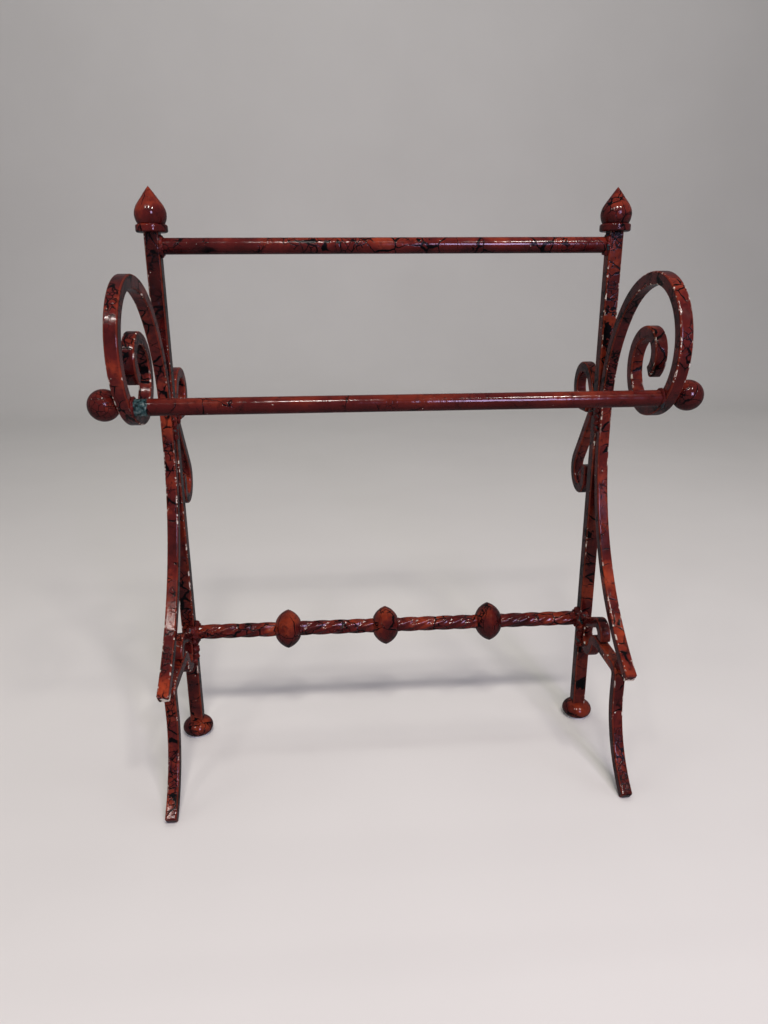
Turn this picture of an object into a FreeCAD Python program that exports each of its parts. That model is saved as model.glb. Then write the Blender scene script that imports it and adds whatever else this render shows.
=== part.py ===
import FreeCAD, Part
import math
import os

# Free-standing towel rack of welded bar: two rear posts, a scrolled arm, a back scroll and a
# curled front leg on each side, and three rails across.  Millimetres, +Z up, front towards -Y.
# While the parts are made, Y = 0 is the plane of the rear posts; the whole rack is then moved so
# that the origin is on the floor under the middle of its overall box.

# ---- driving dimensions -------------------------------------------------------------------------
POST_SPACING = 320.0        # centre to centre of the two rear posts
POST_SIZE = 10.0            # square bar
POST_TOP = 388.0
POST_BOTTOM = 5.0           # the post's end, inside the foot
BAR = 8.0                   # square bar of the arms, back scrolls and front legs
EDGE = 1.3                  # softened corners of every square bar
BEVEL = 0.9                 # filed rim of a cut bar end

COLLAR_R = 10.6
COLLAR_HEIGHT = 5.2
FINIAL_R = 10.5
FINIAL_HEIGHT = 24.0
FINIAL_NECK_R = 8.8

FOOT_R = 12.0               # bun foot: a flattened ball, cut flat where the pad is
FOOT_HALF_HEIGHT = 8.0
FOOT_CENTRE_Z = 6.2
PAD_HEIGHT = 1.2
PAD_INSET = 0.4

TOP_RAIL_R = 5.4
TOP_RAIL_Z = 379.4
FRONT_RAIL_R = 5.0
BALL_R = 9.3
BALL_FLAT = 1.1             # depth of the flat where a ball is welded on
BALL_LIFT = 1.6             # the balls sit a little above the front rail's axis

TWIST_Z = 90.8
TWIST_CREST_R = 5.8
TWIST_VALLEY_R = 4.9
TWIST_STRANDS = 6
TWIST_LEAD = 86.0           # length of one full turn
BEAD_R = 15.3
BEAD_HALF_WIDTH = 9.6
BEAD_END_R = 7.0
BEAD_SHOULDER = (0.66, 11.55)    # share of the half width, and the radius there
BEAD_PLACES = (("left", -82.0), ("centre", -4.0), ("right", 80.0))

ARM_CONTACT_Z = 247.0       # lowest point where the arm lies on the post
ARM_CONTACT_RUN = 21.3
ARM_FLARE_R = 184.0         # the arm's lower half is one long curve
ARM_FLARE_ANGLE = 58.5
LOOP_R = 40.0               # the big loop, on the bar's centre line
LOOP_SHOULDER = (98.7, 61.0)    # the two wider curves that lead up into the loop, 45 degrees each
RAIL_ANGLE = 48.0           # where the front rail meets the loop, below its foremost point
INNER_CURL = ((25.5, 90.0), (22.0, 90.0), (13.0, 145.0))

BACK_CONTACT_Z = 265.5      # where the back scroll touches the post's rear face
LEG_CONTACT_Z = 82.0        # where the leg's curl touches the post's front face
FOOT_SWEEP_R = 80.0
FOOT_SWEEP_ANGLE = 53.0
TIP_GRIND = 0.8             # how much of a leg's tip is ground away flat on the floor

# Moves along the bars from where each touches its post: a straight length, or a radius and an angle.
BACK_UPPER = (
    ("right", 10.0, 33.0), ("run", 13.1), ("right", 20.0, 57.0), ("right", 15.0, 180.0), ("run", 12.0),
)
BACK_LOWER = (
    ("left", 10.0, 35.0), ("run", 50.9), ("right", 15.0, 125.0), ("right", 10.0, 90.0), ("run", 10.0),
)
LEG_CURL = (("run", 2.6), ("left", 10.0, 65.0), ("run", 20.0), ("left", 8.5, 120.0))
LEG_TO_KNEE = (
    ("run", 1.4), ("right", 9.0, 160.0), ("run", 4.8), ("left", 8.0, 72.0), ("run", 35.3),
    ("left", 6.0, 88.0),
)

TOP_RAIL_WELD = 2.2
FRONT_RAIL_WELD = 1.6
TWIST_WELD = 3.4
ARM_SEAM = (249.0, 262.0)   # lowest and highest bead of each seam
BACK_SEAM = (259.0, 270.0)
SEAM_BEADS = 4
SEAM_BEAD_R = 2.6
SEAM_STAND_OFF = 0.6
# Weld beads as (distance in from the post's middle, Y, Z, radius).
CURL_BEADS = (
    (2.6, -7.2, 95.2, 3.8),
    (4.4, -6.4, 91.0, 3.0),
    (4.6, -7.2, 85.5, 3.2),
    (4.9, -7.4, 80.0, 3.4),
    (4.7, -7.2, 74.5, 3.1),
    (4.2, -6.4, 70.0, 2.6),
)
KNEE_BEADS = ((0.0, -77.0, 89.0, 3.4), (0.0, -79.3, 91.8, 3.4), (0.0, -81.6, 94.6, 3.2))

SIDES = (("left", -1.0), ("right", 1.0))
HALF = POST_SPACING / 2.0
POST_FACE = POST_SIZE / 2.0
BAR_FACE = BAR / 2.0
ON_POST = POST_FACE + BAR_FACE      # centre line of a bar lying on a post's front or rear face
UP = 90.0
DOWN = 270.0


def vec(x, y, z):
    return FreeCAD.Vector(x, y, z)


# ---- bent square bar ----------------------------------------------------------------------------
def bar_section(x, y, z, heading, size, edge):
    """Rounded square, square to a heading given in degrees in the plane X = x."""
    angle = math.radians(heading)
    across = vec(1, 0, 0)
    inward = vec(0, -math.sin(angle), math.cos(angle))
    half = size / 2.0
    flat = half - edge
    turn = edge * (1.0 - math.sqrt(0.5))
    centre = vec(x, y, z)
    edges = []
    corners = ((1, 1), (-1, 1), (-1, -1), (1, -1))
    for index, (a, b) in enumerate(corners):
        beside = centre + across * (a * half) + inward * (b * flat)
        middle = centre + across * (a * (half - turn)) + inward * (b * (half - turn))
        above = centre + across * (a * flat) + inward * (b * half)
        order = (beside, middle, above) if a * b > 0 else (above, middle, beside)
        edges.append(Part.Arc(*order).toShape())
        next_a, next_b = corners[(index + 1) % 4]
        if a == next_a:
            start = centre + across * (a * half) + inward * (b * flat)
            end = centre + across * (a * half) + inward * (next_b * flat)
        else:
            start = centre + across * (a * flat) + inward * (b * half)
            end = centre + across * (next_a * flat) + inward * (b * half)
        edges.append(Part.makeLine(start, end))
    return Part.Wire(edges)


def bar_end(x, y, z, heading):
    """Short bevelled stub that closes a bar at its cut end."""
    angle = math.radians(heading)
    wide = bar_section(x, y, z, heading, BAR, EDGE)
    tip_y = y + BEVEL * math.cos(angle)
    tip_z = z + BEVEL * math.sin(angle)
    small = bar_section(x, tip_y, tip_z, heading, BAR - 2.0 * BEVEL, EDGE - BEVEL / 2.0)
    return Part.makeLoft([wide, small], True, True)


def bent_bar(x, y, z, heading, moves):
    """Bar that starts at (y, z) and follows its moves; the last piece is the bevelled end.

    A move is ("run", length), ("left", radius, angle) or ("right", radius, angle).  Left turns the
    heading from +Y towards +Z.  Returns the solids, and the centre of the bar's end.
    """
    pieces = []
    for move in moves:
        face = Part.Face(bar_section(x, y, z, heading, BAR, EDGE))
        angle = math.radians(heading)
        if move[0] == "run":
            step_y = move[1] * math.cos(angle)
            step_z = move[1] * math.sin(angle)
            pieces.append(face.extrude(vec(0, step_y, step_z)))
            y += step_y
            z += step_z
            continue
        side = 1.0 if move[0] == "left" else -1.0
        centre_y = y - side * move[1] * math.sin(angle)
        centre_z = z + side * move[1] * math.cos(angle)
        pieces.append(face.revolve(vec(x, centre_y, centre_z), vec(side, 0, 0), move[2]))
        heading += side * move[2]
        angle = math.radians(heading)
        y = centre_y + side * move[1] * math.sin(angle)
        z = centre_z - side * move[1] * math.cos(angle)
    pieces.append(bar_end(x, y, z, heading))
    return pieces, (y, z)


def joined(pieces):
    """One solid from pieces that meet face to face."""
    return pieces[0].multiFuse(pieces[1:]).removeSplitter()


# ---- parts of one side --------------------------------------------------------------------------
def rear_post(x):
    section = bar_section(x, 0, 0, UP, POST_SIZE, EDGE)
    section.translate(vec(0, 0, POST_BOTTOM))
    return Part.Face(section).extrude(vec(0, 0, POST_TOP - POST_BOTTOM))


def finial_collar(x):
    base = vec(x, 0, POST_TOP)
    disc = Part.makeCylinder(COLLAR_R, COLLAR_HEIGHT, base)
    return disc.makeFillet(1.3, [edge for edge in disc.Edges if edge.Closed])


def finial(x):
    """Bud with a narrow neck, widest at a third of its height, and a pointed tip."""
    base = POST_TOP + COLLAR_HEIGHT
    outline = (
        (FINIAL_NECK_R, 0.0),
        (FINIAL_R * 0.975, 0.14),
        (FINIAL_R, 0.31),
        (FINIAL_R * 0.84, 0.50),
        (FINIAL_R * 0.55, 0.68),
        (FINIAL_R * 0.22, 0.88),
        (0.0, 1.0),
    )
    curve = Part.BSplineCurve()
    curve.interpolate([vec(x + r, 0, base + share * FINIAL_HEIGHT) for r, share in outline])
    foot = vec(x, 0, base)
    tip = vec(x, 0, base + FINIAL_HEIGHT)
    neck = vec(x + FINIAL_NECK_R, 0, base)
    wire = Part.Wire([Part.makeLine(foot, neck), curve.toShape(), Part.makeLine(tip, foot)])
    return Part.Face(wire).revolve(foot, vec(0, 0, 1), 360)


def foot_radius(z):
    """Radius of the bun foot at a height."""
    return FOOT_R * math.sqrt(1.0 - ((z - FOOT_CENTRE_Z) / FOOT_HALF_HEIGHT) ** 2)


def rear_foot(x, post):
    """Bun foot with the post let into it."""
    top_z = FOOT_CENTRE_Z + FOOT_HALF_HEIGHT
    low = vec(x, 0, PAD_HEIGHT)
    rim = vec(x + foot_radius(PAD_HEIGHT), 0, PAD_HEIGHT)
    levels = [PAD_HEIGHT + (top_z - PAD_HEIGHT) * share for share in (0.0, 0.2, 0.42, 0.65, 0.86, 0.97)]
    side = Part.BSplineCurve()
    side.interpolate([vec(x + foot_radius(z), 0, z) for z in levels] + [vec(x, 0, top_z)])
    crown = vec(x, 0, top_z)
    wire = Part.Wire([Part.makeLine(low, rim), side.toShape(), Part.makeLine(crown, low)])
    bun = Part.Face(wire).revolve(low, vec(0, 0, 1), 360)
    return bun.cut(post)


def foot_pad(x):
    return Part.makeCylinder(foot_radius(PAD_HEIGHT) - PAD_INSET, PAD_HEIGHT, vec(x, 0, 0))


def scroll_arm(x):
    """Arm that lies on the post, flares forward below, and rolls over in a double scroll above."""
    upper, _ = bent_bar(x, -ON_POST, ARM_CONTACT_Z, UP, [
        ("run", ARM_CONTACT_RUN),
        ("left", LOOP_SHOULDER[0], 45.0),
        ("left", LOOP_SHOULDER[1], 45.0),
        ("left", LOOP_R, 180.0),
        *[("left", radius, angle) for radius, angle in INNER_CURL],
    ])
    lower, _ = bent_bar(x, -ON_POST, ARM_CONTACT_Z, DOWN, [
        ("right", ARM_FLARE_R, ARM_FLARE_ANGLE),
    ])
    return joined(upper + lower)


def loop_centre():
    """Centre of the arm's big loop, as (y, z)."""
    wide, narrow = LOOP_SHOULDER
    sine = math.sqrt(0.5)
    reach = ON_POST + wide * (1.0 - sine) + narrow * sine
    height = ARM_CONTACT_Z + ARM_CONTACT_RUN + wide * sine + narrow * (1.0 - sine) - LOOP_R
    return -reach, height


def front_rail_axis():
    """Where the front rail is welded to the loop's bar, as (y, z)."""
    y, z = loop_centre()
    angle = math.radians(RAIL_ANGLE)
    return y - LOOP_R * math.cos(angle), z - LOOP_R * math.sin(angle)


def back_scroll(x):
    """S of bar behind the post: a curl above, a slanting run, and an opposite curl below."""
    upper, _ = bent_bar(x, ON_POST, BACK_CONTACT_Z, UP, BACK_UPPER)
    lower, _ = bent_bar(x, ON_POST, BACK_CONTACT_Z, DOWN, BACK_LOWER)
    return joined(upper + lower)


def front_leg(x):
    """Curl on the post's front face, a tight U and a hump, a level strand, a knee and a swept shin."""
    curl, _ = bent_bar(x, -ON_POST, LEG_CONTACT_Z, UP, LEG_CURL)
    _, knee = bent_bar(x, -ON_POST, LEG_CONTACT_Z, DOWN, LEG_TO_KNEE)
    slope = math.radians(FOOT_SWEEP_ANGLE)
    end_z = BAR_FACE * math.sin(slope) - TIP_GRIND
    shin = knee[1] - FOOT_SWEEP_R * math.sin(slope) - end_z
    foot_moves = (("run", shin), ("right", FOOT_SWEEP_R, FOOT_SWEEP_ANGLE))
    down, _ = bent_bar(x, -ON_POST, LEG_CONTACT_Z, DOWN, LEG_TO_KNEE + foot_moves)
    ground = Part.makeBox(BAR * 2, POST_TOP, POST_TOP, vec(x - BAR, -POST_TOP, -POST_TOP))
    return joined(curl + down).cut(ground)


# ---- rails --------------------------------------------------------------------------------------
def round_rail(radius, half_length, y, z):
    return Part.makeCylinder(radius, 2.0 * half_length, vec(-half_length, y, z), vec(1, 0, 0))


def rail_ball(side, y, z):
    """Ball with a small flat that lies on the arm's outer face."""
    reach = BALL_R - BALL_FLAT
    centre = vec(side * (HALF + BAR_FACE + reach), y, z)
    flat_latitude = math.degrees(math.asin(reach / BALL_R))
    return Part.makeSphere(BALL_R, centre, vec(side, 0, 0), -flat_latitude, 90, 360)


def twisted_rail():
    """Rope-twisted bar between the posts' inner faces; its ridges climb towards +X in front."""
    length = POST_SPACING - POST_SIZE
    start = -length / 2.0
    points = 8 * TWIST_STRANDS
    mean = (TWIST_CREST_R + TWIST_VALLEY_R) / 2.0
    wave = (TWIST_CREST_R - TWIST_VALLEY_R) / 2.0
    ring = []
    for k in range(points):
        angle = 2.0 * math.pi * k / points
        radius = mean + wave * math.cos(TWIST_STRANDS * angle)
        ring.append(vec(start, radius * math.cos(angle), TWIST_Z + radius * math.sin(angle)))
    section = Part.BSplineCurve()
    section.interpolate(ring, PeriodicFlag=True)
    guide_r = 3.0 * TWIST_CREST_R
    guide = Part.makeHelix(TWIST_LEAD, length, guide_r).mirror(vec(0, 0, 0), vec(0, 1, 0))
    guide.rotate(vec(0, 0, 0), vec(0, 1, 0), 90)
    guide.translate(vec(start, 0, TWIST_Z))
    axis = Part.Wire(Part.makeLine(vec(start, 0, TWIST_Z), vec(-start, 0, TWIST_Z)))
    sweep = Part.BRepOffsetAPI.MakePipeShell(axis)
    sweep.setAuxiliarySpine(Part.Wire(guide.Edges), True, 0)
    sweep.add(Part.Wire(section.toShape()), False, False)
    sweep.build()
    sweep.makeSolid()
    return sweep.shape()


def twist_bead(x):
    """Flattened ball with a low ridge round its middle, threaded on the twisted rail."""
    def rim(share, radius):
        return vec(x + share * BEAD_HALF_WIDTH, 0, TWIST_Z + radius)

    share, shoulder_r = BEAD_SHOULDER
    ridge = rim(0, BEAD_R)
    wire = Part.Wire([
        Part.Arc(rim(-1, BEAD_END_R), rim(-share, shoulder_r), ridge).toShape(),
        Part.Arc(ridge, rim(share, shoulder_r), rim(1, BEAD_END_R)).toShape(),
        Part.makeLine(rim(1, BEAD_END_R), rim(1, TWIST_CREST_R)),
        Part.makeLine(rim(1, TWIST_CREST_R), rim(-1, TWIST_CREST_R)),
        Part.makeLine(rim(-1, TWIST_CREST_R), rim(-1, BEAD_END_R)),
    ])
    return Part.Face(wire).revolve(vec(x, 0, TWIST_Z), vec(1, 0, 0), 360)


# ---- welds --------------------------------------------------------------------------------------
def weld_collar(side, face_x, y, z, radius, size):
    """Ring of weld in the corner between a round rail and the flat face that it butts against."""
    corner = vec(side * face_x, y, z + radius)
    outer = vec(side * face_x, y, z + radius + size)
    along = vec(side * (face_x - size), y, z + radius)
    round_out = size * 0.62
    bulge = vec(side * (face_x - round_out), y, z + radius + round_out)
    wire = Part.Wire([
        Part.makeLine(corner, outer),
        Part.Arc(outer, bulge, along).toShape(),
        Part.makeLine(along, corner),
    ])
    return Part.Face(wire).revolve(vec(side * face_x, y, z), vec(1, 0, 0), 360)


def weld_beads(spots, neighbours):
    """Row of round beads, each (x, y, z, radius), run together and cut back to their neighbours."""
    balls = [Part.makeSphere(radius, vec(x, y, z)) for x, y, z, radius in spots]
    lump = balls[0].multiFuse(balls[1:])
    for solid in neighbours:
        lump = lump.cut(solid)
    return biggest(lump)


def biggest(shape):
    return max(shape.Solids, key=lambda solid: solid.Volume)


def seam(side, y, ends):
    """Beads of a vertical seam in the corner beside a bar that lies on the post."""
    low, high = ends
    step = (high - low) / (SEAM_BEADS - 1)
    x = side * (HALF - BAR_FACE)
    return [(x, y, low + step * k, SEAM_BEAD_R) for k in range(SEAM_BEADS)]


def beads_beside(side, beads):
    """Beads given from a post's middle, as spots of the rack."""
    return [(side * (HALF - inward), y, z, radius) for inward, y, z, radius in beads]


# ---- the rack -----------------------------------------------------------------------------------
def build():
    nodes = {}
    rail_y, rail_z = front_rail_axis()
    for name, side in SIDES:
        x = side * HALF
        post = rear_post(x)
        nodes[name + "_rear_post"] = post
        nodes[name + "_scroll_arm"] = scroll_arm(x)
        nodes[name + "_back_scroll"] = back_scroll(x)
        nodes[name + "_front_leg"] = front_leg(x)
        nodes[name + "_finial_collar"] = finial_collar(x)
        nodes[name + "_finial"] = finial(x)
        nodes[name + "_rear_foot"] = rear_foot(x, post)
        nodes[name + "_foot_pad"] = foot_pad(x)
        nodes[name + "_rail_ball"] = rail_ball(side, rail_y, rail_z + BALL_LIFT)

    inner = HALF - POST_FACE
    nodes["top_rail"] = round_rail(TOP_RAIL_R, inner, 0, TOP_RAIL_Z)
    nodes["front_rail"] = round_rail(FRONT_RAIL_R, HALF - BAR_FACE, rail_y, rail_z)
    nodes["twisted_rail"] = twisted_rail()
    for name, x in BEAD_PLACES:
        nodes["twist_bead_" + name] = twist_bead(x)

    welds = {key: [] for key in (
        "top_rail_welds", "front_rail_welds", "twisted_rail_welds",
        "arm_welds", "back_scroll_welds", "leg_welds", "knee_welds",
    )}
    for name, side in SIDES:
        post = nodes[name + "_rear_post"]
        arm = nodes[name + "_scroll_arm"]
        back = nodes[name + "_back_scroll"]
        leg = nodes[name + "_front_leg"]
        top_ring = weld_collar(side, inner, 0, TOP_RAIL_Z, TOP_RAIL_R, TOP_RAIL_WELD)
        front_ring = weld_collar(
            side, HALF - BAR_FACE, rail_y, rail_z, FRONT_RAIL_R, FRONT_RAIL_WELD)
        twist_ring = weld_collar(side, inner, 0, TWIST_Z, TWIST_CREST_R, TWIST_WELD)
        arm_beads = seam(side, -POST_FACE - SEAM_STAND_OFF, ARM_SEAM)
        back_beads = seam(side, POST_FACE + SEAM_STAND_OFF, BACK_SEAM)
        curl_beads = beads_beside(side, CURL_BEADS)
        knee_beads = beads_beside(side, KNEE_BEADS)
        welds["top_rail_welds"].append(top_ring)
        welds["front_rail_welds"].append(front_ring)
        welds["twisted_rail_welds"].append(twist_ring)
        welds["arm_welds"].append(weld_beads(arm_beads, (post, arm)))
        welds["back_scroll_welds"].append(weld_beads(back_beads, (post, back)))
        welds["leg_welds"].append(weld_beads(curl_beads, (post, leg, twist_ring)))
        welds["knee_welds"].append(weld_beads(knee_beads, (leg, arm)))
    for key, solids in welds.items():
        nodes[key] = Part.makeCompound(solids)
    return nodes


def main():
    nodes = build()
    front = min(nodes[name + "_scroll_arm"].optimalBoundingBox().YMin for name, _ in SIDES)
    rear = max(nodes[name + "_back_scroll"].optimalBoundingBox().YMax for name, _ in SIDES)
    shift = vec(0, -(front + rear) / 2.0, 0)
    os.makedirs("parts", exist_ok=True)
    for name, shape in nodes.items():
        shape.translate(shift)
        shape.exportStep("parts/" + name + ".step")
        print(name, shape.isValid(), len(shape.Solids), round(shape.Volume, 1))


main()
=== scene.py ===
import math
import bpy
from mathutils import Matrix, Vector, noise


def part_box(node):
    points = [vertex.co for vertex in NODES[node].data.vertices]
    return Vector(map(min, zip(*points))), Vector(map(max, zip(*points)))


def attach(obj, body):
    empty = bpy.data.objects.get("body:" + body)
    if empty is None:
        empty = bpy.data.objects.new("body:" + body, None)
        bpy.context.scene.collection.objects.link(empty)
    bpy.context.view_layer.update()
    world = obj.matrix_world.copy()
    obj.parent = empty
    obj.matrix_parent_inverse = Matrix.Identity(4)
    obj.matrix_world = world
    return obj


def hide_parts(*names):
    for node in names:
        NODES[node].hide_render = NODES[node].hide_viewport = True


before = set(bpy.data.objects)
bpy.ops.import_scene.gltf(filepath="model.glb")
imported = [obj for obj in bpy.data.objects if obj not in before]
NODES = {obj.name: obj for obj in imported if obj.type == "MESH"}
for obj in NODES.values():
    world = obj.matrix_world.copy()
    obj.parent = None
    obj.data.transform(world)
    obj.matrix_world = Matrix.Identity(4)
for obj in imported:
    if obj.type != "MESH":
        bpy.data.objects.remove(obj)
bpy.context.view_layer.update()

scene = bpy.context.scene


# ---- node-tree helpers --------------------------------------------------------------------------
class Tree:
    """Short-hand for building one material's node tree."""

    def __init__(self, name):
        self.mat = bpy.data.materials.new(name)
        self.mat.use_nodes = True
        self.nodes = self.mat.node_tree.nodes
        self.links = self.mat.node_tree.links
        self.bsdf = self.nodes["Principled BSDF"]

    def link(self, source, target):
        self.links.new(source, target)

    def put(self, value, socket):
        """Links a socket, or sets a plain value."""
        if isinstance(value, bpy.types.NodeSocket):
            self.link(value, socket)
        else:
            socket.default_value = value

    def place(self):
        return self.nodes.new("ShaderNodeTexCoord").outputs["Object"]

    def shifted(self, coords, offset=(0, 0, 0), scale=(1, 1, 1)):
        node = self.nodes.new("ShaderNodeMapping")
        node.inputs["Location"].default_value = offset
        node.inputs["Scale"].default_value = scale
        self.link(coords, node.inputs["Vector"])
        return node.outputs["Vector"]

    def noise(self, coords, scale, detail=3.0, rough=0.55, out="Fac"):
        node = self.nodes.new("ShaderNodeTexNoise")
        node.inputs["Scale"].default_value = scale
        node.inputs["Detail"].default_value = detail
        node.inputs["Roughness"].default_value = rough
        self.link(coords, node.inputs["Vector"])
        return node.outputs[out]

    def cell_edge(self, coords, scale):
        node = self.nodes.new("ShaderNodeTexVoronoi")
        node.feature = "DISTANCE_TO_EDGE"
        node.inputs["Scale"].default_value = scale
        self.link(coords, node.inputs["Vector"])
        return node.outputs["Distance"]

    def math(self, kind, a, b=0.0, clamp=False):
        node = self.nodes.new("ShaderNodeMath")
        node.operation = kind
        node.use_clamp = clamp
        self.put(a, node.inputs[0])
        self.put(b, node.inputs[1])
        return node.outputs[0]

    def vector(self, kind, a, b=None, scale=None):
        node = self.nodes.new("ShaderNodeVectorMath")
        node.operation = kind
        self.put(a, node.inputs[0])
        if b is not None:
            self.put(b, node.inputs[1])
        if scale is not None:
            node.inputs["Scale"].default_value = scale
        return node.outputs["Value"] if kind == "DOT_PRODUCT" else node.outputs["Vector"]

    def step(self, value, low, high):
        """0 below low, 1 above high, smooth between; swapped limits run the other way."""
        node = self.nodes.new("ShaderNodeMapRange")
        node.interpolation_type = "SMOOTHSTEP"
        flip = low > high
        node.inputs["From Min"].default_value = min(low, high)
        node.inputs["From Max"].default_value = max(low, high)
        node.inputs["To Min"].default_value = 1.0 if flip else 0.0
        node.inputs["To Max"].default_value = 0.0 if flip else 1.0
        self.link(value, node.inputs["Value"])
        return node.outputs["Result"]

    def ramp(self, value, stops):
        node = self.nodes.new("ShaderNodeValToRGB")
        ramp = node.color_ramp
        while len(ramp.elements) < len(stops):
            ramp.elements.new(0.5)
        for element, (place, colour) in zip(ramp.elements, stops):
            element.position = place
            element.color = (*colour, 1.0)
        self.link(value, node.inputs["Fac"])
        return node.outputs["Color"]

    def mix(self, factor, a, b):
        node = self.nodes.new("ShaderNodeMix")
        node.data_type = "RGBA"
        self.put(factor, node.inputs["Factor"])
        self.put(a if isinstance(a, bpy.types.NodeSocket) else (*a, 1.0), node.inputs["A"])
        self.put(b if isinstance(b, bpy.types.NodeSocket) else (*b, 1.0), node.inputs["B"])
        return node.outputs["Result"]

    def blend(self, factor, a, b):
        node = self.nodes.new("ShaderNodeMix")
        self.put(factor, node.inputs["Factor"])
        self.put(a, node.inputs["A"])
        self.put(b, node.inputs["B"])
        return node.outputs["Result"]

    def bump(self, height, distance, strength=1.0, normal=None):
        node = self.nodes.new("ShaderNodeBump")
        node.inputs["Distance"].default_value = distance
        node.inputs["Strength"].default_value = strength
        self.link(height, node.inputs["Height"])
        if normal is not None:
            self.link(normal, node.inputs["Normal"])
        return node.outputs["Normal"]

    def below(self, axis, limit, grain, swing, border):
        """1 where a point lies below the limit along one axis, with a ragged border."""
        split = self.nodes.new("ShaderNodeSeparateXYZ")
        self.link(self.place(), split.inputs[0])
        ragged = self.math("MULTIPLY", self.math("SUBTRACT", self.noise(self.place(), grain), 0.5), swing)
        return self.step(self.math("ADD", split.outputs[axis], ragged), limit + border, limit - border)

    def facing(self):
        """The surface normal's X, Y and Z."""
        split = self.nodes.new("ShaderNodeSeparateXYZ")
        self.link(self.nodes.new("ShaderNodeNewGeometry").outputs["Normal"], split.inputs[0])
        return split.outputs

    def bar_corners(self):
        """1 on the rounded corners of the square bars, whose flats all face along X or square to it."""
        lean = self.math("ABSOLUTE", self.facing()["X"])
        return self.math("MULTIPLY", self.step(lean, 0.15, 0.40), self.step(lean, 0.97, 0.85))

    def painted_top_light(self):
        """Painted light from above and in front: the red turned most orange on tops, some on fronts, least
        underneath.
        """
        facing = self.facing()
        return self.math(
            "ADD", self.math("MULTIPLY", facing["Z"], 0.11), self.math("MULTIPLY", facing["Y"], -0.05))


# ---- finishes -----------------------------------------------------------------------------------
RED_DARK = (0.026, 0.0030, 0.0034)
RED_MID = (0.085, 0.0085, 0.0075)
RED_BRIGHT = (0.340, 0.046, 0.0140)
CRACK_BLACK = (0.0022, 0.0018, 0.0024)
CHIP_PALE = (0.62, 0.56, 0.48)
SCORCH_TONES = ((0.36, (0.004, 0.006, 0.007)), (0.52, (0.022, 0.055, 0.058)), (0.70, (0.16, 0.20, 0.19)))

NET_CELL = 3.4                              # cells of the fine net for each broad crack's cell
WORN_BORDER = (330.0, 0.018, 0.0002)        # grain, swing and border of the bare metal at an arm's tip
BURNT_BORDER = (300.0, 0.004, 0.0003)       # the same for the scorched end of the front rail


def red_coat(t, place, calm):
    """The red, from nearly black to orange in a random tone, made more orange on tops and fronts by painted
    light, with a dark mottle.
    """
    tone = t.blend(calm, t.noise(place, 34.0, 4.0, 0.62), 0.5)
    # painted light: tops and fronts pushed towards orange
    tone = t.math("ADD", tone, t.painted_top_light())
    colour = t.ramp(tone, ((0.37, RED_DARK), (0.57, RED_MID), (0.82, RED_BRIGHT)))
    mottle = t.step(t.noise(place, 260.0, 4.0, 0.65), 0.50, 0.72)
    return t.mix(t.math("MULTIPLY", mottle, 0.7), colour, RED_DARK)


def broad_cracks(t, place, squeezed, cell, line, bare_of_cracks):
    """1 in the long cracks, whose width wanders."""
    width = t.math("ADD", t.step(t.noise(place, 60.0, 2.0), 0.36, 0.68), 0.12)
    crack = t.step(t.math("DIVIDE", t.cell_edge(squeezed, cell), width), 0.062 * line, 0.028 * line)
    where = t.noise(t.shifted(place, offset=(0.3, 0.7, 0.6)), 30.0, 1.0)
    return t.math("MULTIPLY", crack, t.step(where, bare_of_cracks, bare_of_cracks + 0.07))


def crack_net(t, place, squeezed, cell, line, fine):
    """1 in the fine net of cracks, which comes in patches."""
    crack = t.step(t.cell_edge(squeezed, cell), 0.085 * line, 0.036 * line)
    where = t.noise(t.shifted(place, offset=(0.6, 0.1, 0.3)), 36.0, 2.0)
    return t.math("MULTIPLY", crack, t.step(where, fine, fine + 0.06))


def black_blots(t, bent, patches):
    """1 in the black blots."""
    return t.step(
        t.noise(t.shifted(bent, offset=(1.3, 0.2, 0.5)), 52.0, 4.0, 0.7), patches, patches + 0.02)


def corner_chips(t, place, rim, chips):
    """1 in the pale chips, which run along a bar's corners in stretches."""
    bare = t.noise(t.shifted(place, offset=(0.9, 0.4, 0.1)), 240.0, 4.0, 0.65)
    where = t.noise(t.shifted(place, offset=(0.2, 0.8, 0.3)), 24.0, 2.0)
    chip = t.math("MULTIPLY", rim, t.step(bare, chips, chips + 0.02))
    return t.math("MULTIPLY", chip, t.step(where, 0.46, 0.56))


def scorched(t):
    """Blue-green black of metal where the weld burnt the paint off."""
    return t.ramp(t.noise(t.place(), 420.0, 4.0, 0.7), SCORCH_TONES)


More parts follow.
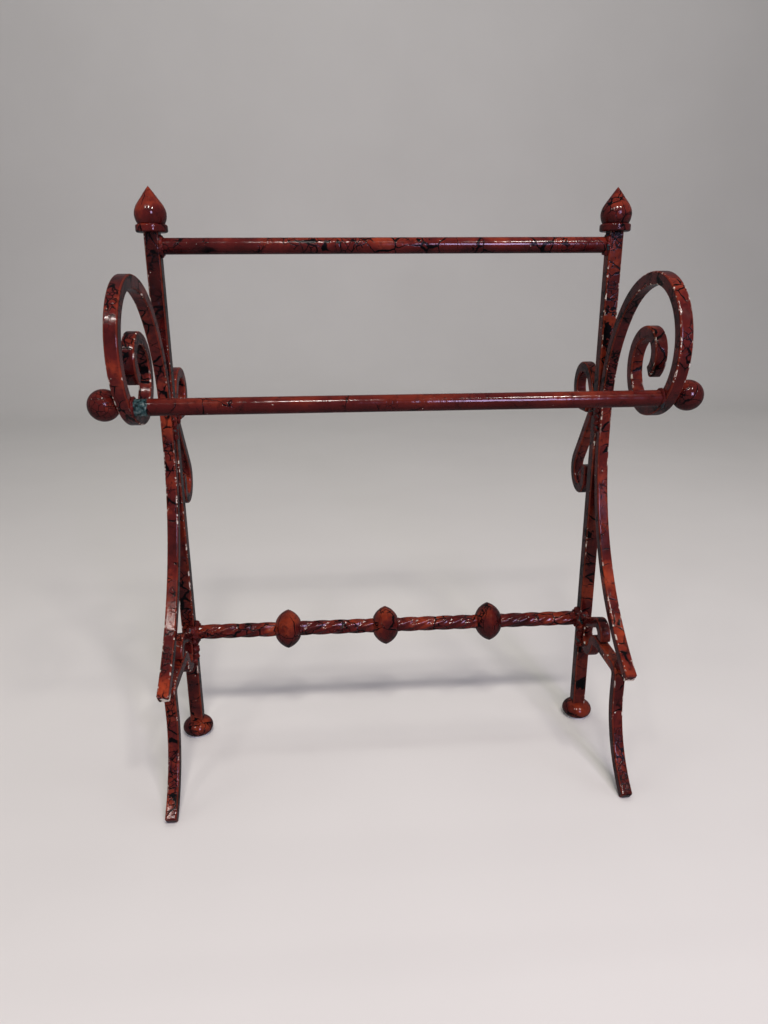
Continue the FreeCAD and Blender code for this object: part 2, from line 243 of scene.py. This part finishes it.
def crackle_enamel(
        name, seed, cell=78.0, stretch=(1.0, 1.0, 1.0), patches=0.66, chips=0.57, fine=0.54, lumps=0.4,
        square=True, line=1.0, shade=1.0, calm=0.0, bare_of_cracks=0.40, worn_below_z=None,
        burnt_below_x=None):
    """Dark red enamel over black, cracked, blotted and chipped.

    cell is how closely the broad cracks lie, stretch squeezes them along each axis and line is their
    width. Higher patches, chips, fine and bare_of_cracks leave fewer blots, chips, nets and cracks.
    square wears the corners of a square bar and lightens them towards bright red, partly thin enamel and
    partly painted highlight; calm evens the red out, and a lower shade darkens it.
    """
    t = Tree(name)
    place = t.shifted(t.place(), offset=(seed * 0.137, seed * 0.071, seed * 0.053))
    wobble = t.vector("SCALE", t.noise(place, 90.0, 3.0, out="Color"), scale=0.007)
    bent = t.vector("ADD", place, wobble)

    crack = broad_cracks(t, place, t.shifted(bent, scale=stretch), cell, line, bare_of_cracks)
    shifted_net = t.shifted(bent, offset=(0.4, 0.2, 0.7), scale=stretch)
    net = crack_net(t, place, shifted_net, cell * NET_CELL, line, fine)
    black = t.math("MAXIMUM", t.math("MAXIMUM", net, crack), black_blots(t, bent, patches))
    colour = t.vector("SCALE", red_coat(t, place, calm), scale=shade)
    colour = t.mix(black, colour, CRACK_BLACK)

    chip = t.step(t.noise(t.shifted(place, offset=(0.5, 0.1, 0.9)), 330.0, 2.0, 0.5), 0.77, 0.78)
    if square:
        rim = t.bar_corners()
        # painted highlight along the rounded corners, partly thin enamel there: corners mixed towards
        # bright red
        colour = t.mix(t.math("MULTIPLY", rim, 0.22), colour, RED_BRIGHT)
        chip = t.math("MAXIMUM", chip, corner_chips(t, place, rim, chips))
    if worn_below_z is not None:
        chip = t.math("MAXIMUM", chip, t.below("Z", worn_below_z, *WORN_BORDER))
    colour = t.mix(chip, colour, CHIP_PALE)
    if burnt_below_x is not None:
        colour = t.mix(t.below("X", burnt_below_x, *BURNT_BORDER), colour, scorched(t))
    t.link(colour, t.bsdf.inputs["Base Color"])

    rough = t.blend(t.step(t.noise(place, 95.0, 3.0), 0.35, 0.7), 0.07, 0.20)
    rough = t.blend(black, rough, 0.26)
    t.link(t.blend(chip, rough, 0.75), t.bsdf.inputs["Roughness"])
    wave = t.bump(t.noise(place, 170.0, 3.0, 0.6), 0.0004, lumps)
    sunk = t.math("ADD", t.math("MULTIPLY", black, -0.6), t.math("MULTIPLY", chip, -1.0))
    t.link(t.bump(sunk, 0.00012, 0.8, wave), t.bsdf.inputs["Normal"])
    t.link(t.blend(black, 0.50, 0.15), t.bsdf.inputs["Specular IOR Level"])
    return t.mat


def weld_enamel(name, seed):
    """The same red over lumpy weld metal, with more black and some burnt grey-green."""
    t = Tree(name)
    place = t.shifted(t.place(), offset=(seed * 0.21, seed * 0.13, 0.0))
    colour = t.ramp(t.noise(place, 120.0, 4.0, 0.6), ((0.32, RED_DARK), (0.55, RED_MID), (0.8, RED_BRIGHT)))
    black = t.step(t.noise(place, 150.0, 3.0, 0.7), 0.54, 0.60)
    burnt = t.mix(t.step(t.noise(place, 300.0, 2.0), 0.45, 0.7), CRACK_BLACK, (0.02, 0.045, 0.05))
    colour = t.mix(black, colour, burnt)
    t.link(colour, t.bsdf.inputs["Base Color"])
    t.link(t.blend(t.noise(place, 200.0), 0.18, 0.5), t.bsdf.inputs["Roughness"])
    t.link(t.bump(t.noise(place, 380.0, 3.0, 0.6), 0.0006, 0.8), t.bsdf.inputs["Normal"])
    t.bsdf.inputs["Specular IOR Level"].default_value = 0.25
    return t.mat


def clear_pad():
    """Pale translucent bumper under a foot."""
    t = Tree("clear_pad")
    place = t.place()
    cloud = t.noise(place, 180.0, 3.0)
    milky = t.ramp(cloud, ((0.3, (0.86, 0.85, 0.82)), (0.7, (0.93, 0.93, 0.91))))
    t.link(milky, t.bsdf.inputs["Base Color"])
    t.link(t.blend(cloud, 0.25, 0.4), t.bsdf.inputs["Roughness"])
    t.bsdf.inputs["Subsurface Weight"].default_value = 0.3
    t.link(t.bump(t.noise(place, 600.0), 0.0001, 0.4), t.bsdf.inputs["Normal"])
    return t.mat


def dress(material, *names):
    for name in names:
        slots = NODES[name].data.materials
        slots.clear()
        slots.append(material)


UPRIGHT = (0.8, 0.8, 1.15)                  # cracks drawn closer along a post
ALONG_X = (1.1, 0.8, 0.8)                   # and along a rail
ARM_WORN = 0.0023                           # height of the bare metal at an arm's tip
RAIL_BURNT = 0.0085                         # length of the scorched end of the front rail
ARM_WORN_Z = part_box("left_scroll_arm")[0][2] + ARM_WORN
RAIL_BURNT_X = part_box("front_rail")[0][0] + RAIL_BURNT

for index, side in enumerate(("left", "right")):
    dress(
        crackle_enamel(side + "_post_enamel", 1 + index, 70.0, UPRIGHT, patches=0.61, shade=0.6),
        side + "_rear_post")
    dress(
        crackle_enamel(
            side + "_arm_enamel", 3 + index, 84.0, patches=0.68, line=1.3, worn_below_z=ARM_WORN_Z),
        side + "_scroll_arm")
    dress(
        crackle_enamel(side + "_leg_enamel", 5 + index, 80.0, line=1.1, shade=0.9),
        side + "_front_leg")
    dress(
        crackle_enamel(side + "_back_enamel", 7 + index, 80.0, chips=0.68),
        side + "_back_scroll")
    dress(
        crackle_enamel(
            side + "_bud_enamel", 9 + index, 48.0, patches=0.68, lumps=0.25, square=False, line=0.8),
        side + "_finial", side + "_finial_collar")
    dress(
        crackle_enamel(
            side + "_foot_enamel", 11 + index, 60.0, patches=0.66, lumps=0.25, square=False, line=0.8,
            shade=0.75),
        side + "_rear_foot")
    dress(
        crackle_enamel(
            side + "_ball_enamel", 17 + index, 80.0, patches=0.70, lumps=0.25, square=False, line=0.6,
            shade=0.8, calm=0.3),
        side + "_rail_ball")
dress(
    crackle_enamel(
        "top_rail_enamel", 13, 62.0, ALONG_X, patches=0.63, square=False, line=0.9, calm=0.3),
    "top_rail")
dress(
    crackle_enamel(
        "front_rail_enamel", 14, 55.0, ALONG_X, patches=0.74, fine=0.66, square=False, line=0.5,
        shade=0.8, calm=0.65, bare_of_cracks=0.52, burnt_below_x=RAIL_BURNT_X),
    "front_rail")
dress(
    crackle_enamel("twist_enamel", 15, 90.0, patches=0.67, square=False, shade=0.85),
    "twisted_rail")
dress(
    crackle_enamel("bead_enamel", 16, 52.0, patches=0.68, square=False, line=0.8, shade=0.78),
    "twist_bead_left", "twist_bead_centre", "twist_bead_right")
dress(clear_pad(), "left_foot_pad", "right_foot_pad")


# ---- weld metal ---------------------------------------------------------------------------------
SMOOTHINGS = 5
LUMP_GRAIN = 420.0


def run_together(node, voxel):
    """A copy of a CAD weld's mesh with its beads run into each other."""
    piece = bpy.data.objects.new(node + "_metal", NODES[node].data.copy())
    scene.collection.objects.link(piece)
    remesh = piece.modifiers.new("remesh", "REMESH")
    remesh.mode = "VOXEL"
    remesh.voxel_size = voxel
    piece.modifiers.new("smooth", "SMOOTH").iterations = SMOOTHINGS
    solid = piece.evaluated_get(bpy.context.evaluated_depsgraph_get())
    mesh = bpy.data.meshes.new_from_object(solid)
    piece.modifiers.clear()
    piece.data = mesh
    mesh.name = node + "_metal"
    return piece


def weld_metal(node, voxel, lump, material):
    """A weld made uneven, as a puddle of weld under paint is."""
    piece = run_together(node, voxel)
    mesh = piece.data
    for vert in mesh.vertices:
        push = noise.fractal(vert.co * LUMP_GRAIN, 0.8, 2.0, 3) * lump
        vert.co += vert.normal * push
    for face in mesh.polygons:
        face.use_smooth = True
    mesh.materials.clear()
    mesh.materials.append(material)
    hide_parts(node)
    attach(piece, "root")


WELD_PAINT = weld_enamel("weld_enamel", 1)
for node, voxel, lump in (
        ("top_rail_welds", 0.0004, 0.0010),
        ("front_rail_welds", 0.0004, 0.0005),
        ("twisted_rail_welds", 0.0005, 0.0011),
        ("arm_welds", 0.0004, 0.0006),
        ("back_scroll_welds", 0.0004, 0.0006),
        ("leg_welds", 0.0005, 0.0009),
        ("knee_welds", 0.0005, 0.0007)):
    weld_metal(node, voxel, lump, WELD_PAINT)


# ---- floor, lights, camera ----------------------------------------------------------------------
FLOOR_HALF_WIDTH = 8.0
FLOOR_FRONT = -3.0
FLOOR_BACK = 1.6
BACKDROP_BEND = 0.7
BACKDROP_TOP = 3.5
BEND_STEPS = 12


def floor():
    """Pale floor that curves up into a backdrop well behind the rack."""
    profile = [(FLOOR_FRONT, 0.0), (FLOOR_BACK, 0.0)]
    for step in range(1, BEND_STEPS + 1):
        angle = math.radians(90.0 * step / BEND_STEPS)
        profile.append(
            (FLOOR_BACK + BACKDROP_BEND * math.sin(angle), BACKDROP_BEND * (1.0 - math.cos(angle))))
    profile.append((FLOOR_BACK + BACKDROP_BEND, BACKDROP_TOP))
    verts = [(x, y, z) for y, z in profile for x in (-FLOOR_HALF_WIDTH, FLOOR_HALF_WIDTH)]
    faces = [(2 * k, 2 * k + 1, 2 * k + 3, 2 * k + 2) for k in range(len(profile) - 1)]
    mesh = bpy.data.meshes.new("floor")
    mesh.from_pydata(verts, [], faces)
    for face in mesh.polygons:
        face.use_smooth = True
    ground = bpy.data.objects.new("floor", mesh)
    scene.collection.objects.link(ground)
    t = Tree("floor_paint")
    pale = t.ramp(t.noise(t.place(), 3.0), ((0.3, (0.70, 0.69, 0.67)), (0.7, (0.73, 0.72, 0.70))))
    t.link(pale, t.bsdf.inputs["Base Color"])
    t.bsdf.inputs["Roughness"].default_value = 0.6
    mesh.materials.append(t.mat)
    ground.visible_glossy = False       # keeps the pale floor out of the enamel's reflections


def area_light(name, place, target, size, power, colour, glint=False):
    """Soft rectangle of light; only the ones with a glint show as reflections."""
    data = bpy.data.lights.new(name, "AREA")
    data.shape = "RECTANGLE"
    data.size, data.size_y = size
    data.energy = power
    data.color = colour
    lamp = bpy.data.objects.new(name, data)
    scene.collection.objects.link(lamp)
    lamp.location = place
    lamp.rotation_euler = (Vector(target) - Vector(place)).to_track_quat("-Z", "Y").to_euler()
    lamp.visible_glossy = glint


def studio_lights():
    """Dim grey world, soft lights that leave no reflection, and a window and bulbs that do."""
    world = bpy.data.worlds.new("studio")
    world.use_nodes = True
    background = world.node_tree.nodes["Background"].inputs
    background["Color"].default_value = (0.93, 0.95, 1.0, 1.0)
    background["Strength"].default_value = 0.12
    scene.world = world
    middle = (0.0, 0.0, 0.2)
    area_light("key", (0.15, -1.1, 1.7), middle, (0.5, 0.35), 15.0, (1.0, 0.93, 0.86))
    area_light("fill", (1.6, -0.7, 1.0), middle, (0.7, 0.7), 2.2, (0.90, 0.90, 1.0))
    area_light("side", (-1.6, -0.6, 1.1), middle, (0.7, 0.7), 2.2, (1.0, 0.94, 0.88))
    area_light("top", (0.1, 0.3, 1.9), middle, (1.2, 0.4), 4.0, (1.0, 0.96, 0.92))
    area_light("window", (0.42, -1.5, 0.75), middle, (0.34, 0.46), 7.0, (0.72, 0.58, 1.0), glint=True)
    for bulb, x, power in (("bulb_left", -0.6, 1.8), ("bulb_middle", -0.1, 4.0), ("bulb_right", 0.5, 4.0)):
        area_light(bulb, (x, -0.9, 1.5), middle, (0.12, 0.12), power, (1.0, 0.94, 0.88), glint=True)
    area_light("backdrop", (0.0, 0.9, 2.6), (0, 2.3, 1.2), (3.0, 0.5), 14.0, (1.0, 0.99, 0.97))


def camera(place, yaw, pitch, roll, lens):
    """Pinhole camera; in radians, yaw turns right and pitch looks down; lens in mm on a 36 mm height."""
    ahead = Vector((math.sin(yaw) * math.cos(pitch), math.cos(yaw) * math.cos(pitch), -math.sin(pitch)))
    level = Vector((math.cos(yaw), -math.sin(yaw), 0.0))
    upright = level.cross(ahead)
    right = level * math.cos(roll) + upright * math.sin(roll)
    above = upright * math.cos(roll) - level * math.sin(roll)
    data = bpy.data.cameras.new("camera")
    data.sensor_width = 36.0
    data.lens = lens
    data.clip_start = 0.01
    eye = bpy.data.objects.new("camera", data)
    scene.collection.objects.link(eye)
    eye.matrix_world = Matrix.Translation(place) @ Matrix((right, above, -ahead)).transposed().to_4x4()
    scene.camera = eye


floor()
studio_lights()
scene.view_settings.view_transform = "Standard"
camera(place=(-0.04184, -0.49612, 0.34927), yaw=0.07017, pitch=0.29654, roll=-0.00740, lens=25.424297)
